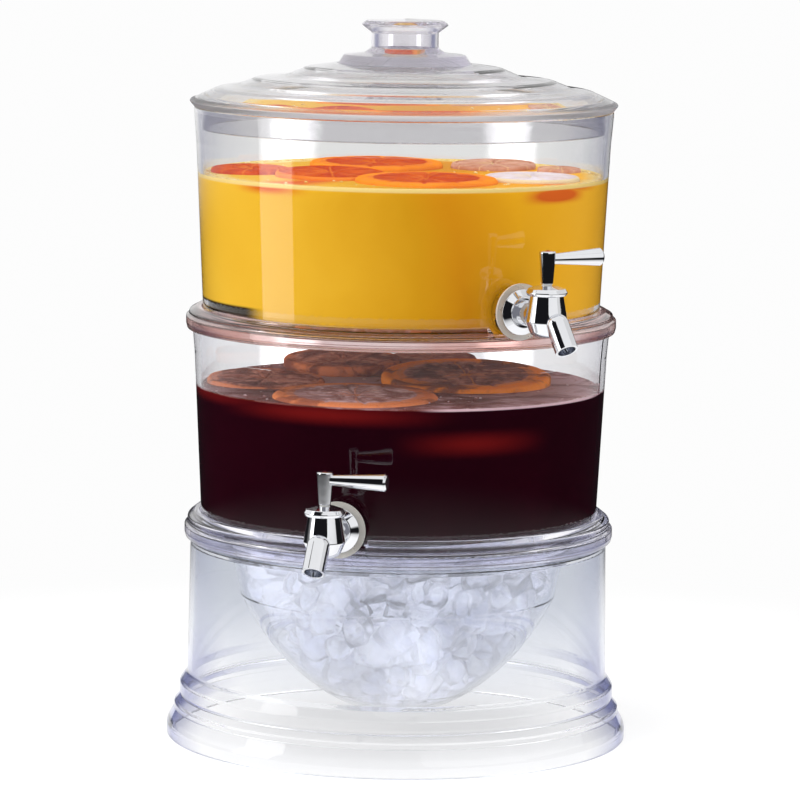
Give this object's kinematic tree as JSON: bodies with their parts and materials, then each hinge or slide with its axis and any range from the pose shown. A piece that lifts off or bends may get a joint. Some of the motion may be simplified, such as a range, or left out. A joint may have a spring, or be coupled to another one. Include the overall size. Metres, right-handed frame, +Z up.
{
  "type": "tiered beverage dispenser",
  "caption": "Stacked clear drink dispenser: flared pedestal with a hanging ice bowl, tanks seated on turning rings, taps with side levers, and a stepped lid with a spool knob.",
  "frame": {"origin": "middle of the foot's underside, on the stack's axis", "axes": "+Z up along the stack's axis, -Y towards the front, from which the picture was taken"},
  "size_m": [0.2864, 0.3265, 0.4455],
  "materials": {
    "clear_plastic": "polished, transparent",
    "chrome_plate": "bright plated",
    "pale_rubber": "matt",
    "black_rubber": "matt",
    "white_plastic": "moulded"
  },
  "bodies": {
    "base": {"base": "clear_plastic"},
    "ice_bowl": {"ice_bowl": "clear_plastic"},
    "lower_ring": {"lower_stacking_ring": "clear_plastic"},
    "lower_tank": {"lower_tank": "clear_plastic", "lower_tap_body": "chrome_plate", "lower_tap_flange": "chrome_plate", "lower_tap_outer_washer": "pale_rubber", "lower_tap_inner_washer": "pale_rubber", "lower_tap_lock_nut": "white_plastic", "lower_tap_bonnet": "chrome_plate", "lower_tap_stem_seal": "black_rubber"},
    "lower_tap_handle": {"lower_tap_lever": "chrome_plate", "lower_tap_valve_plug": "white_plastic"},
    "upper_ring": {"upper_stacking_ring": "clear_plastic"},
    "upper_tank": {"upper_tank": "clear_plastic", "upper_tap_body": "chrome_plate", "upper_tap_flange": "chrome_plate", "upper_tap_outer_washer": "pale_rubber", "upper_tap_inner_washer": "pale_rubber", "upper_tap_lock_nut": "white_plastic", "upper_tap_bonnet": "chrome_plate", "upper_tap_stem_seal": "black_rubber"},
    "upper_tap_handle": {"upper_tap_lever": "chrome_plate", "upper_tap_valve_plug": "white_plastic"},
    "lid": {"lid": "clear_plastic", "lid_knob": "clear_plastic"}
  },
  "joints": [
    {"name": "ice_bowl_lift", "type": "slide", "parent": "base", "child": "ice_bowl", "axis": [0, 0, 1], "range_m": [0, 0.125]},
    {"name": "lower_tier_turn", "type": "hinge", "parent": "base", "child": "lower_ring", "pos_m": [0, 0, 0.131], "axis": [0, 0, 1], "continuous": true},
    {"name": "lower_tank_lift", "type": "slide", "parent": "lower_ring", "child": "lower_tank", "axis": [0, 0, 1], "range_m": [0, 0.25]},
    {"name": "lower_tap_turn", "type": "hinge", "parent": "lower_tank", "child": "lower_tap_handle", "pos_m": [-0.04329, -0.15611, 0.148], "axis": [0, 0, -1], "range_deg": [0, 90]},
    {"name": "upper_tier_turn", "type": "hinge", "parent": "lower_tank", "child": "upper_ring", "pos_m": [0, 0, 0.261], "axis": [0, 0, 1], "continuous": true},
    {"name": "upper_tank_lift", "type": "slide", "parent": "upper_ring", "child": "upper_tank", "axis": [0, 0, 1], "range_m": [0, 0.2]},
    {"name": "upper_tap_turn", "type": "hinge", "parent": "upper_tank", "child": "upper_tap_handle", "pos_m": [0.08537, -0.13768, 0.278], "axis": [0, 0, -1], "range_deg": [0, 90]},
    {"name": "lid_lift", "type": "slide", "parent": "upper_tank", "child": "lid", "axis": [0, 0, 1], "range_m": [0, 0.15]}
  ],
  "couplings": [
    {"joint": "ice_bowl_lift", "follows": "lower_tank_lift", "ratio": 0.5}
  ]
}
